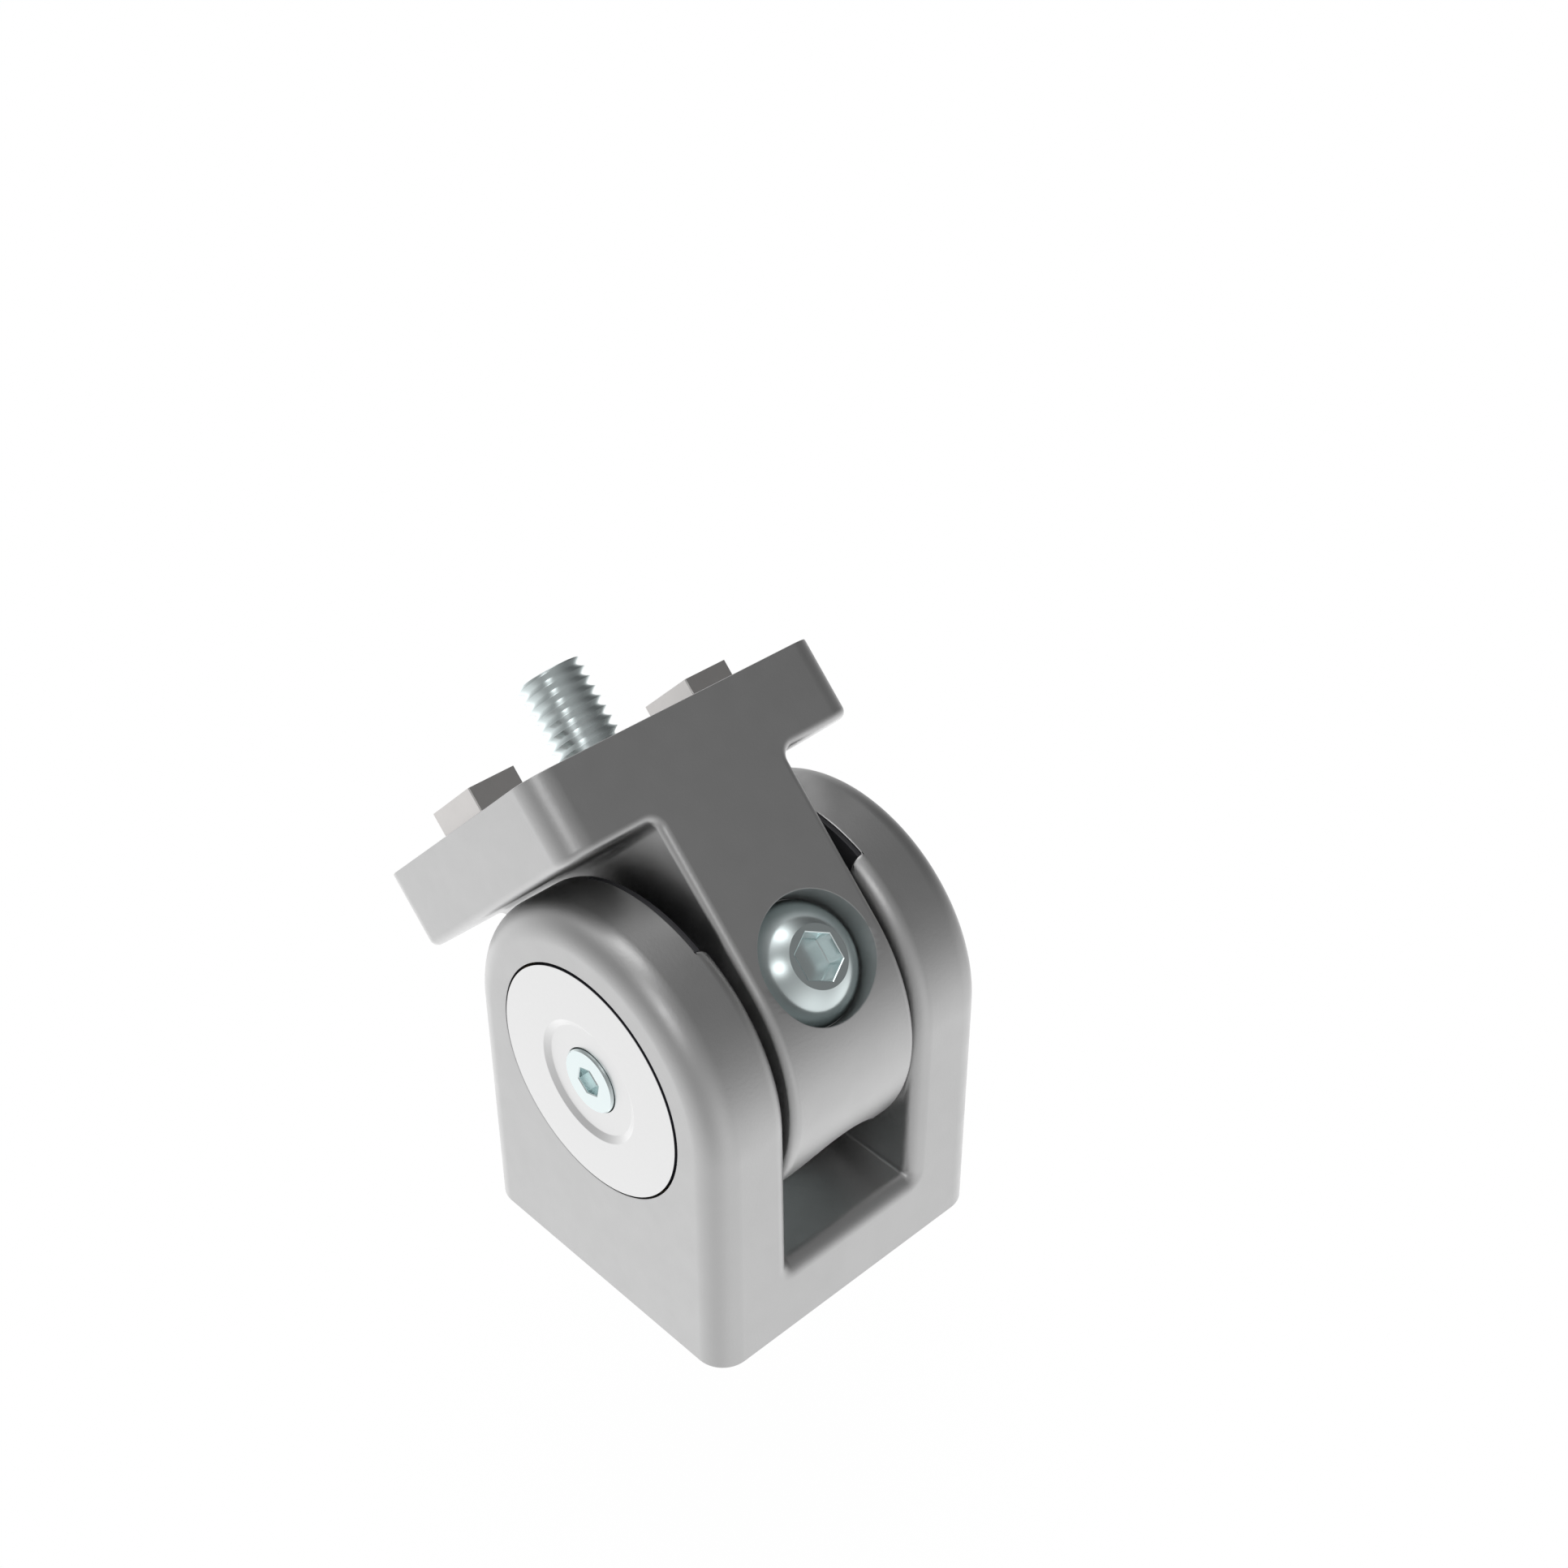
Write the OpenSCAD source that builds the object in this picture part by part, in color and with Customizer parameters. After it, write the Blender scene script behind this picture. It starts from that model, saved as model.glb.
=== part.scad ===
// Pivot joint for the ends of two square slotted profiles.
// The lower half is a fork, and the upper half is a tongue that swings between the fork's cheeks.
// Each half is bolted to the end of a profile by one screw, and two keys in the slots stop it turning.
// X runs along the pivot axis, -Y is the front, and the origin is the centre of the fork's base face.

/* [Both halves] */
// Width of the square end of each half
profile_w = 40; // [38:0.5:48]
// Width of the profile slot that the keys fit
slot_w = 10.3; // [8:0.1:12]
// Rounding of the large outer corners of both halves
corner_r = 3.5; // [2:0.25:4]
// Gap between each half and the round end that swings past it
swing_gap = 0.5; // [0.3:0.1:1]
// Length that the tongue's profile screw stands out of the flange
stand_out = 10.8; // [9:0.1:12]

/* [Fork] */
// Thickness of the fork's base under the pocket
base_t = 9.5; // [8:0.25:14]
// Width of the pocket between the cheeks
pocket_w = 19.3; // [18.5:0.1:20]
// Rounding of the edges of the pocket's mouth
mouth_r = 2; // [0.75:0.25:2.25]
// Width of the channel in each cheek that the bush's tab lines
channel_w = 16.9; // [10:0.1:18]
// Depth of that channel
channel_d = 2.25; // [1.5:0.05:3]

/* [Tongue] */
// Thickness of the flange
flange_t = 9.5; // [8:0.25:14]
// Gap between the leg and each cheek
side_gap = 0.65; // [0.5:0.05:0.8]
// Rounding of the leg's edges and the flange's lower edges
edge_r = 1; // [0.5:0.1:1.5]
// Rounding in the inner corner between leg and flange
inner_r = 1.25; // [0.5:0.25:2]

/* [Pivot] */
// Bore through each cheek for the hub and its bush
hub_bore_d = 28; // [26:0.25:30]
// Gap round the hub's head in that bore
hub_gap = 0.25; // [0.2:0.05:0.6]
// Height of the hub's face above the cheek's outer face
hub_proud = 0.1; // [0:0.05:0.6]
// Thickness of the hub's head
hub_head_t = 2.2; // [2.1:0.1:3]
// Wall thickness of the bush round the hub's spigot
bush_wall = 1.91; // [1.5:0.01:3]
// Thickness of the bush's tab
tab_t = 0.6; // [0.4:0.1:1.2]
// Distance from the tab's end to the cheek's round top
tab_low = 0.1; // [0.05:0.05:1]
// Running clearance of the spigot in the bush, on the radius
run_gap = 0.06; // [0.02:0.01:0.1]
// Diameter of the axle
axle_d = 16; // [14:0.25:17]
// Depth to which the axle's ends enter the hubs
axle_entry = 1.65; // [1:0.05:2.5]
// Thickness of the friction ring under the hub's head
ring_t = 0.5; // [0.4:0.1:1]
// Distance from the thrust washer's rim to the line of the hub's bore
washer_edge = 0.5; // [0.3:0.1:2]
// Diameter of the shallow dish in the hub's face
dish_d = 14.8; // [12:0.2:20]
// Width of the dish's sloping edge
dish_edge = 0.8; // [0.5:0.1:1.5]
// Depth of the dish
dish_depth = 0.45; // [0.1:0.05:0.6]

/* [Large screws] */
// Nominal diameter of the large screws
screw_d = 8; // [7:0.25:8.5]
// Diameter of the profile screws' shanks between head and thread
shank_d = 7.2; // [5.5:0.1:7.5]
// Head diameter of the large screws
head_d = 14; // [12.5:0.25:14.5]
// Head height of the large screws
head_h = 4.4; // [3.5:0.1:5]
// Diameter of the flat ring on top of the head
head_flat_d = 7.1; // [6.5:0.1:8]
// Height of the head's straight rim
head_rim = 0.6; // [0.3:0.1:1]
// Width across the flats of the hexagon socket
socket_af = 5; // [4:0.5:5.5]
// Depth of the hexagon socket
socket_h = 2.8; // [2:0.1:3]
// Gap round the heads in their counterbores
head_gap = 0.2; // [0.1:0.05:0.35]
// Diameter of the clearance holes for the large screws
clear_d = 9; // [8.6:0.1:10]
// Length of the base screw under its head
base_screw_l = 16; // [14:0.5:20]
// Length of the tongue's profile screw under its head
profile_screw_l = 25; // [24:0.5:26]
// Length of the lock screw under its head
lock_screw_l = 20; // [16:0.5:22]
// Chamfer at the tips of the large screws
tip_c = 0.3; // [0.2:0.1:1.2]

/* [Hub screws] */
// Nominal diameter of the hub screws
hub_screw_d = 5; // [4:0.25:5]
// Head diameter of the hub screws
hub_screw_head_d = 7.6; // [7:0.1:9]
// Head height of the hub screws
hub_screw_head_h = 3; // [2:0.1:3.5]
// Space between the tip of a hub screw and the lock screw
hub_tip_gap = 1.2; // [0.6:0.1:3]
// Width across the flats of the hexagon socket
hub_socket_af = 3; // [2:0.1:3.5]
// Depth of the hexagon socket
hub_socket_h = 1.5; // [1:0.1:1.8]
// Height of the head above the floor of the dish
hub_screw_proud = 0.4; // [0.2:0.05:0.6]
// Chamfer round the head and at the tip
hub_screw_c = 0.15; // [0.1:0.05:0.5]

/* [Keys] */
// Length of a key along the slot's depth
key_l = 6; // [5:0.1:7]
// Height of a key
key_h = 3; // [2:0.25:4]
// Play of a key across the slot
key_play = 0.1; // [0.1:0.1:0.6]
// Distance of a key from the side of its half
key_edge = 1.9; // [0.5:0.1:2.5]
// Chamfer of the key's corners
key_c = 0.1; // [0.1:0.1:0.6]
// Depth to which a key is let into its half
key_sink = 3; // [2:0.25:5]

/* [Hidden] */
// Tilt of the tongue back from upright at rest
rest_tilt = 45;
// Clearance of pieces that are fitted to one another, on the radius or the face
fit = 0.03;
// Distance by which cutters pass a face
over = 0.5;
cheek_r = profile_w / 2;
pivot_h = base_t + swing_gap + cheek_r;
flange_low = cheek_r + swing_gap;
flange_top = flange_low + flange_t;
wall_x = pocket_w / 2;
leg_w = pocket_w - 2 * side_gap;
leg_x = leg_w / 2;
channel_x = wall_x + channel_d;
bore_r = hub_bore_d / 2;
spigot_r = bore_r - fit - bush_wall - run_gap;
washer_r = bore_r - washer_edge;
axle_r = axle_d / 2;
// Places along the pivot axis, from the middle outwards
hub_in_x = wall_x + fit;
axle_x = hub_in_x + axle_entry;
hub_face_x = cheek_r + hub_proud;
head_in_x = hub_face_x - hub_head_t;
ring_x = head_in_x - ring_t;
dish_x = hub_face_x - dish_depth;
hub_seat_x = dish_x + hub_screw_proud - hub_screw_head_h;
hub_tip_x = screw_d / 2 + hub_tip_gap;
hub_screw_l = hub_seat_x - hub_tip_x;
// Places of the large screws' seats, from the base face or from the pivot
head_low = 0.1;
sink_r = head_d / 2 + head_gap;
base_seat = base_t - head_h - head_low;
profile_seat = flange_top + stand_out - profile_screw_l;
lock_seat = cheek_r - head_h;
// Ball that forms the dome of the large heads, by its centre above the seat and its radius
dome_z = (pow(head_flat_d / 2, 2) + pow(head_h, 2) - pow(head_d / 2, 2) - pow(head_rim, 2))
    / (2 * (head_h - head_rim));
dome_r = sqrt(pow(head_d / 2, 2) + pow(head_rim - dome_z, 2));
key_x = cheek_r - key_edge - key_l / 2;
key_w = slot_w - key_play;
// Turn of the hub screws' sockets about the pivot axis
hub_turn = 42;
$fn = 72;

// Moves its children from the pivot to the origin of the fork
module at_pivot() {
    translate([0, 0, pivot_h]) children();
}

// Moves its children from an upright tongue at the origin to the tongue at rest
module on_tongue() {
    at_pivot() rotate([-rest_tilt, 0, 0]) children();
}

// Mirrors its children to the left side
module to_left() {
    mirror([1, 0, 0]) children();
}

// Turns its children from the Z axis to the X axis
module along_x() {
    rotate([0, 90, 0]) children();
}

// Cylinder on the X axis between two places
module x_cylinder(r, x0, x1) {
    translate([x0, 0, 0]) along_x() cylinder(h = x1 - x0, r = r);
}

// Ring on the X axis between two places
module x_ring(r_in, r_out, x0, x1) {
    difference() {
        x_cylinder(r_out, x0, x1);
        x_cylinder(r_in, x0 - over, x1 + over);
    }
}

// Rectangle with rounded corners
module rounded(w, d, r) {
    square([w - 2 * r, d], center = true);
    square([w, d - 2 * r], center = true);
    for (x = [-1, 1], y = [-1, 1])
        translate([x * (w / 2 - r), y * (d / 2 - r)]) circle(r = r);
}

// Section that rounds off an edge at the origin, with the metal to the left of it and below it
module edge_cut(r) {
    translate([-r, -r]) difference() {
        square(r + over);
        circle(r = r);
    }
}

// Upper half of a thick disc about the X axis, with rounded edges
module half_disc(r, w, e) {
    along_x() rotate(90) rotate_extrude(angle = 180) {
        translate([0, -w / 2]) square([r - e, w]);
        translate([0, e - w / 2]) square([r, w - 2 * e]);
        for (y = [-1, 1])
            translate([r - e, y * (w / 2 - e)]) circle(r = e);
    }
}

// Level section of the pocket, with rounded edges at the front and the back
module pocket_level() {
    square([pocket_w, profile_w + 2 * over], center = true);
    for (x = [0, 1], y = [0, 1])
        mirror([x, 0]) mirror([0, y])
            translate([wall_x, cheek_r]) mirror([1, 0]) edge_cut(mouth_r);
}

// Upright section of the pocket from front to back, with the floor's rounded edges
module pocket_upright() {
    translate([-cheek_r - over, base_t]) square([profile_w + 2 * over, pivot_h - base_t]);
    for (y = [0, 1])
        mirror([y, 0]) translate([cheek_r, base_t]) edge_cut(mouth_r);
}

// Pocket's section from the pivot outwards, with rounded edges at the cheeks' round tops
module pocket_radial() {
    translate([0, -wall_x]) square([cheek_r + over, pocket_w]);
    for (x = [0, 1])
        mirror([0, x]) translate([cheek_r, wall_x]) mirror([0, 1]) edge_cut(mouth_r);
}

// Space between the cheeks
module pocket() {
    intersection() {
        linear_extrude(pivot_h) pocket_level();
        translate([-cheek_r, 0, 0]) rotate([90, 0, 90]) linear_extrude(profile_w) pocket_upright();
    }
    at_pivot() along_x() rotate(90) rotate_extrude(angle = 180) pocket_radial();
}

// Outline of the upright tongue above the pivot, seen from the front
module tongue_outline() {
    translate([-leg_x, 0]) square([leg_w, flange_low + over]);
    translate([-cheek_r, flange_low]) square([profile_w, flange_t]);
    for (s = [0, 1])
        mirror([s, 0]) translate([leg_x, flange_low - inner_r]) difference() {
            translate([-over, 0]) square(inner_r + over);
            translate([inner_r, 0]) circle(r = inner_r);
        }
}

// Cutters that round the edges of one quarter of the upright tongue above the pivot
module tongue_edges() {
    corner = cheek_r - corner_r;
    inner_x = leg_x + inner_r;
    linear_extrude(flange_low - inner_r) translate([leg_x, cheek_r]) edge_cut(edge_r);
    translate([inner_x, 0, flange_low - inner_r]) rotate([-90, 0, 0]) rotate(180)
        rotate_extrude(angle = 90) translate([inner_r, cheek_r]) mirror([1, 0]) edge_cut(edge_r);
    translate([inner_x, 0, 0]) rotate([90, 0, 90]) linear_extrude(corner - inner_x)
        translate([cheek_r, flange_low]) mirror([0, 1]) edge_cut(edge_r);
    translate([corner, corner, 0]) rotate_extrude(angle = 90)
        translate([corner_r, flange_low]) mirror([0, 1]) edge_cut(edge_r);
    translate([0, corner, 0]) rotate([90, 0, 0]) linear_extrude(corner)
        translate([cheek_r, flange_low]) mirror([0, 1]) edge_cut(edge_r);
}

// Hexagon socket from the origin upwards, with corners on the Y axis
module socket(af, h) {
    rotate(90) cylinder(h = h, d = af / cos(30), $fn = 6);
}

// Threaded end of a screw from the origin down to its chamfered tip
module thread(d, l, c) {
    translate([0, 0, c - l]) cylinder(h = l - c, d = d);
    translate([0, 0, -l]) cylinder(h = c, d1 = d - 2 * c, d2 = d);
}

// Head of a large screw, from its seat at the origin upwards
module button_head() {
    difference() {
        intersection() {
            cylinder(h = head_h, d = head_d);
            translate([0, 0, dome_z]) sphere(r = dome_r);
        }
        translate([0, 0, head_h - socket_h]) socket(socket_af, socket_h + over);
    }
}

// Screw into a profile, with a thinner shank above its thread
module long_screw(l, thread_l) {
    button_head();
    translate([0, 0, thread_l - l - over]) cylinder(h = l - thread_l + 2 * over, d = shank_d);
    translate([0, 0, thread_l - l]) thread(screw_d, thread_l, tip_c);
}

// Key that stands up from the origin and reaches down into its pocket
module key() {
    translate([0, 0, -key_sink]) linear_extrude(key_sink + key_h) difference() {
        square([key_l, key_w], center = true);
        for (x = [-1, 1], y = [-1, 1])
            translate([x * key_l / 2, y * key_w / 2]) rotate(45)
                square(key_c * sqrt(2), center = true);
    }
}

// Pockets for two keys, from the origin's level downwards
module key_pockets() {
    for (x = [-1, 1])
        translate([x * key_x, 0, (over - key_sink - fit) / 2])
            cube([key_l + 2 * fit, key_w + 2 * fit, key_sink + fit + over], center = true);
}

// Casting that is bolted to the lower profile
module fork() {
    color([0.74, 0.75, 0.75]) difference() {
        union() {
            linear_extrude(pivot_h) rounded(profile_w, profile_w, corner_r);
            at_pivot() half_disc(cheek_r, profile_w, corner_r);
        }
        pocket();
        at_pivot() x_cylinder(bore_r, -cheek_r - over, cheek_r + over);
        at_pivot() translate([-channel_x, -channel_w / 2, 0])
            cube([2 * channel_x, channel_w, cheek_r + over]);
        translate([0, 0, -over]) cylinder(h = base_t + 2 * over, d = clear_d);
        translate([0, 0, base_seat]) cylinder(h = base_t, r = sink_r);
        mirror([0, 0, 1]) key_pockets();
    }
}

// Screw through the fork's floor into the lower profile
module base_screw() {
    color([0.70, 0.76, 0.77]) translate([0, 0, base_seat + fit])
        long_screw(base_screw_l + fit, base_screw_l - base_seat);
}

// Keys under the fork
module base_key_right() {
    color([0.55, 0.53, 0.51]) mirror([0, 0, 1]) translate([key_x, 0, 0]) key();
}

module base_key_left() {
    to_left() base_key_right();
}

// Bearing bush in the cheek's bore, with the tab in the channel that stops it turning
module bush_right() {
    color([0.09, 0.09, 0.11]) at_pivot() difference() {
        union() {
            x_cylinder(bore_r - fit, hub_in_x, ring_x - fit);
            intersection() {
                translate([channel_x - fit - tab_t, fit - channel_w / 2, 0])
                    cube([tab_t, channel_w - 2 * fit, cheek_r]);
                x_cylinder(cheek_r - tab_low, 0, cheek_r);
            }
        }
        x_cylinder(spigot_r + run_gap, 0, cheek_r);
    }
}

module bush_left() {
    to_left() bush_right();
}

// Ring between the bush and the hub's head
module friction_ring_right() {
    color([0.35, 0.30, 0.24]) at_pivot()
        x_ring(spigot_r + hub_gap, bore_r - fit, ring_x, head_in_x - fit);
}

module friction_ring_left() {
    to_left() friction_ring_right();
}

// Casting that is bolted to the upper profile
module tongue() {
    color([0.72, 0.73, 0.73]) on_tongue() difference() {
        union() {
            mirror([0, 0, 1]) half_disc(cheek_r, leg_w, edge_r);
            difference() {
                intersection() {
                    translate([0, cheek_r, 0]) rotate([90, 0, 0])
                        linear_extrude(profile_w) tongue_outline();
                    linear_extrude(flange_top) rounded(profile_w, profile_w, corner_r);
                }
                for (x = [0, 1], y = [0, 1])
                    mirror([x, 0, 0]) mirror([0, y, 0]) tongue_edges();
            }
        }
        x_cylinder(axle_r + fit, -leg_w, leg_w);
        translate([0, 0, profile_seat - over]) cylinder(h = flange_top, d = clear_d);
        translate([0, 0, -cheek_r - over]) cylinder(h = cheek_r + over + profile_seat, r = sink_r);
        rotate([90, 0, 0]) cylinder(h = cheek_r, d = clear_d);
        rotate([90, 0, 0]) translate([0, 0, lock_seat]) cylinder(h = head_h + over, r = sink_r);
        translate([0, 0, flange_top]) key_pockets();
    }
}

// Screw from inside the leg through the flange into the upper profile
module profile_screw() {
    color([0.70, 0.76, 0.77]) on_tongue() translate([0, 0, profile_seat - fit])
        mirror([0, 0, 1]) long_screw(profile_screw_l + fit, stand_out);
}

// Screw from the front of the leg into the axle
module lock_screw() {
    color([0.72, 0.78, 0.79]) on_tongue() rotate([90, 0, 0]) translate([0, 0, lock_seat + fit]) {
        button_head();
        translate([0, 0, over]) thread(screw_d, lock_screw_l + over, tip_c);
    }
}

// Keys on the flange
module tongue_key_right() {
    color([0.55, 0.53, 0.51]) on_tongue() translate([key_x, 0, flange_top]) key();
}

module tongue_key_left() {
    to_left() tongue_key_right();
}

// Axle through the leg, with a cross hole for the lock screw and a hole for a hub screw in each end
module axle() {
    color([0.60, 0.61, 0.62]) on_tongue() difference() {
        x_cylinder(axle_r, -axle_x, axle_x);
        rotate([90, 0, 0]) cylinder(h = 2 * axle_d, d = screw_d + 2 * fit, center = true);
        for (s = [0, 1])
            mirror([s, 0, 0]) x_cylinder(hub_screw_d / 2 + fit, hub_tip_x - head_low, axle_d);
    }
}

// Hub that turns in the bush and carries one end of the axle
module hub_right() {
    color([0.93, 0.93, 0.93]) on_tongue() difference() {
        union() {
            x_cylinder(spigot_r, hub_in_x, head_in_x + over);
            x_cylinder(bore_r - hub_gap, head_in_x, hub_face_x);
        }
        x_cylinder(axle_r + fit, wall_x, axle_x + fit);
        x_cylinder(hub_screw_d / 2 + head_low, wall_x, hub_face_x);
        x_cylinder(hub_screw_head_d / 2 + head_low, hub_seat_x - fit, hub_face_x);
        translate([dish_x, 0, 0]) along_x()
            cylinder(h = 2 * dish_depth, d1 = dish_d - 2 * dish_edge, d2 = dish_d + 2 * dish_edge);
    }
}

module hub_left() {
    to_left() hub_right();
}

// Screw that holds the hub to the axle
module hub_screw_right() {
    color([0.80, 0.86, 0.87]) at_pivot() rotate([hub_turn, 0, 0])
        translate([hub_seat_x, 0, 0]) along_x() difference() {
            union() {
                cylinder(h = hub_screw_head_h - hub_screw_c, d = hub_screw_head_d);
                translate([0, 0, hub_screw_head_h - hub_screw_c])
                    cylinder(h = hub_screw_c, d1 = hub_screw_head_d,
                        d2 = hub_screw_head_d - 2 * hub_screw_c);
                translate([0, 0, over]) thread(hub_screw_d, hub_screw_l + over, hub_screw_c);
            }
            translate([0, 0, hub_screw_head_h - hub_socket_h])
                socket(hub_socket_af, hub_socket_h + over);
        }
}

module hub_screw_left() {
    to_left() hub_screw_right();
}

// Washer between the leg and the cheek
module thrust_washer_right() {
    color([0.62, 0.60, 0.52]) at_pivot()
        x_ring(axle_r + head_low, washer_r, leg_x + fit, wall_x - fit);
}

module thrust_washer_left() {
    to_left() thrust_washer_right();
}

fork();
base_screw();
base_key_left();
base_key_right();
bush_left();
bush_right();
friction_ring_left();
friction_ring_right();
tongue();
profile_screw();
lock_screw();
tongue_key_left();
tongue_key_right();
axle();
hub_left();
hub_right();
hub_screw_left();
hub_screw_right();
thrust_washer_left();
thrust_washer_right();
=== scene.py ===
"""A pivot joint for two square slotted profiles: a cast fork, and a cast tongue that swings in it.

Sizes are in millimetres until a piece is finished. The fork stands upright. The tongue's pieces are
made upright about the pivot, and tilted back with it. Positive Y is the back.
"""

import math

import bmesh
import bpy
from mathutils import Matrix, Vector


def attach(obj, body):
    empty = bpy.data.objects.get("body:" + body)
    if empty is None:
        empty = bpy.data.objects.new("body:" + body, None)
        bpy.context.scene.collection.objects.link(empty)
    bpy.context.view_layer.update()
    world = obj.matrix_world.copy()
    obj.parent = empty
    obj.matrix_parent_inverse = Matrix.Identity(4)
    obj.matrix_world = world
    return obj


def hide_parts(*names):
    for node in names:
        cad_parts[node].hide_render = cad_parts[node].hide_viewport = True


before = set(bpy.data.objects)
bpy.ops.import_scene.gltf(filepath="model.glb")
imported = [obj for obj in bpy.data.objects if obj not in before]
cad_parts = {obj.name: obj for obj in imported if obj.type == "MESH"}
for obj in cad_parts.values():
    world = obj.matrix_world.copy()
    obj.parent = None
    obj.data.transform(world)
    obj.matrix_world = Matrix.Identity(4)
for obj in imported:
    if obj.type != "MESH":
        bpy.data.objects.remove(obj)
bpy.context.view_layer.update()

MM = 0.001
FIT = 0.03  # play between two pieces
PAST = 1.0  # how far a cutter reaches past a face
FAR = 5.0  # how far it reaches past the end of a casting

# steps of round shapes
ROUND = 96
BORE_ROUND = 128
HUB_ROUND = 160
SMALL_ROUND = 60
CORNER_STEPS = 12
EDGE_STEPS = 8
POCKET_STEPS = 6
SOFT_STEPS = 3

# the two castings
END_W = 40.0
HALF_W = END_W / 2
CORNER_R = 3.5
PIVOT_H = 30.0
FLOOR_H = 9.5
POCKET_X = 9.65
FLOOR_PINCH = 0.23  # how far each wall of the pocket stands in at the floor
DRAFT = 0.016
MOUTH_R = 2.0
POCKET_CORNER_R = 0.5
CHANNEL_X = 11.9
CHANNEL_W = 16.9
HUB_BORE_R = 14.0
LEG_X = 9.0
FLANGE_LOW = 20.5
FLANGE_TOP = 30.0
EDGE_R = 1.0
INNER_R = 1.25
SOFT_EDGE = 0.15
TILT = math.radians(45)

# the pieces at the pivot
AXLE_R = 8.0
AXLE_PLAY = 0.05
AXLE_SUNK = 1.7  # how far the axle's end stands in the hub
HUB_IN = 9.68
HUB_STEP = 17.9
HUB_FACE = 20.1
HUB_R = 13.75
SPIGOT_R = 12.0
HUB_EDGE = 0.05
# margin at the edges of the painted shade on the hub's rim
GAP_SHADE_EDGE = 0.04
DISH_R = 7.4
DISH_FLOOR_R = 6.6
DISH_X = 19.65
BUSH_BORE_R = 12.06
BUSH_END = 17.4
BUSH_EDGE = 0.08
TAB_T = 0.6
TAB_DROP = 0.1  # how far the tab ends under the cheek's round top
RING_BORE_R = 12.28
RING_EDGE = 0.08
WASHER_BORE_R = 8.1
WASHER_R = 13.5

# the screws in the hubs
HUB_SCREW_SEAT = 17.05
HUB_SCREW_TOP = 20.05
HUB_SCREW_HEAD_R = 3.8
HUB_SCREW_PLAY = 0.1
HUB_SCREW_EDGE = 0.15
HUB_SCREW_LOW_EDGE = 0.1
HUB_SCREW_NECK = 0.3
HUB_SCREW_FLAT_R = 2.2
HUB_SCREW_R = 2.5
HUB_SCREW_HOLE_R = 2.6
HUB_SCREW_PITCH = 0.8
HUB_SCREW_THREAD = (-11.8, -0.6)  # from the screw's tip to its neck
HUB_SOCKET_W = 3.0
HUB_SOCKET_D = 1.5
HUB_SCREW_TURN = math.radians(42)

# the large screws
SCREW_R = 4.0
SHANK_R = 3.6
PITCH = 1.25
HEAD_R = 7.0
HEAD_H = 4.4
HEAD_FLAT_R = 3.55
HEAD_RIM = 0.6
HEAD_EDGE = 0.15
HEAD_CREASE = 0.05  # narrow ring that keeps the dome's shading off the flat
HEAD_STEPS = 20
NECK = 0.4
SOCKET_W = 5.0
SOCKET_D = 2.8
SINK_R = 7.2
CLEAR_R = 4.5
BASE_SEAT = 5.0
BASE_OUT = 11.0
PROFILE_SEAT = 15.8
STAND_OUT = 10.8
LOCK_SEAT = 15.6
LOCK_THREAD = (-20.0, -8.0)  # from the screw's tip to its neck
STAND_TURN = 0.12  # part of a turn by which the standing screw's thread is turned

# threads
THREAD_DEPTH = 0.56  # share of the pitch
CREST = 0.05  # share of the pitch that is flat
VALLEY = 1.5  # 1 gives plain flanks, and more gives rounder valleys
TIP_C = 0.15
RUN_OUT = 1.2
THREAD_CALM = 0.8

# the keys
KEY_X = 15.1
KEY_L = 6.0
KEY_W = 10.2
KEY_H = 3.0
KEY_SINK = 3.0
KEY_ROOM = 0.1  # space under a key
KEY_C = 0.1
KEY_EDGE = 0.04

# angles in degrees above which an edge stays sharp
CAST_SHARP = 32
TURNED_SHARP = 28
RING_SHARP = 40

# the floor, and the camera with its angles in degrees and its focal length in pixels
FLOOR_REACH = 2000.0
FLOOR_DROP = 50.0
PHOTO_PX = 1932
FOCAL_PX = 2767.8
SENSOR_W = 36.0
CAMERA_AT = (-125.96, -140.38, 192.79)
CAMERA_DOWN = 35.43
CAMERA_TURN = -43.77

AT_PIVOT = Matrix.Translation((0, 0, PIVOT_H))
ON_TONGUE = AT_PIVOT @ Matrix.Rotation(-TILT, 4, "X")
ALONG_X = Matrix.Rotation(math.radians(90), 4, "Y")
ALONG_LEFT = Matrix.Rotation(math.radians(-90), 4, "Y")
TO_FRONT = Matrix.Rotation(math.radians(90), 4, "X")
UPSIDE_DOWN = Matrix.Rotation(math.radians(180), 4, "X")


# shapes

def spread(start, end, count):
    """Evenly spaced values from start to end, both included."""
    return [start + (end - start) * i / count for i in range(count + 1)]


def full_turn(count):
    """Angles of a full turn."""
    return spread(0, 2 * math.pi, count)


def arc(cx, cy, r, start, end, count=EDGE_STEPS):
    """Points of an arc between two angles in degrees."""
    return [
        (cx + r * math.cos(math.radians(a)), cy + r * math.sin(math.radians(a)))
        for a in spread(start, end, count)
    ]


def circle(r, z, angles):
    """Points of a circle about the Z axis, at the given angles."""
    return [(r * math.cos(a), r * math.sin(a), z) for a in angles]


def square_outline(half, r, count):
    """Outline of a square with rounded corners."""
    inner = half - r
    return (
        arc(inner, inner, r, 0, 90, count)
        + arc(-inner, inner, r, 90, 180, count)
        + arc(-inner, -inner, r, 180, 270, count)
        + arc(inner, -inner, r, 270, 360, count)
    )


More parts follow.
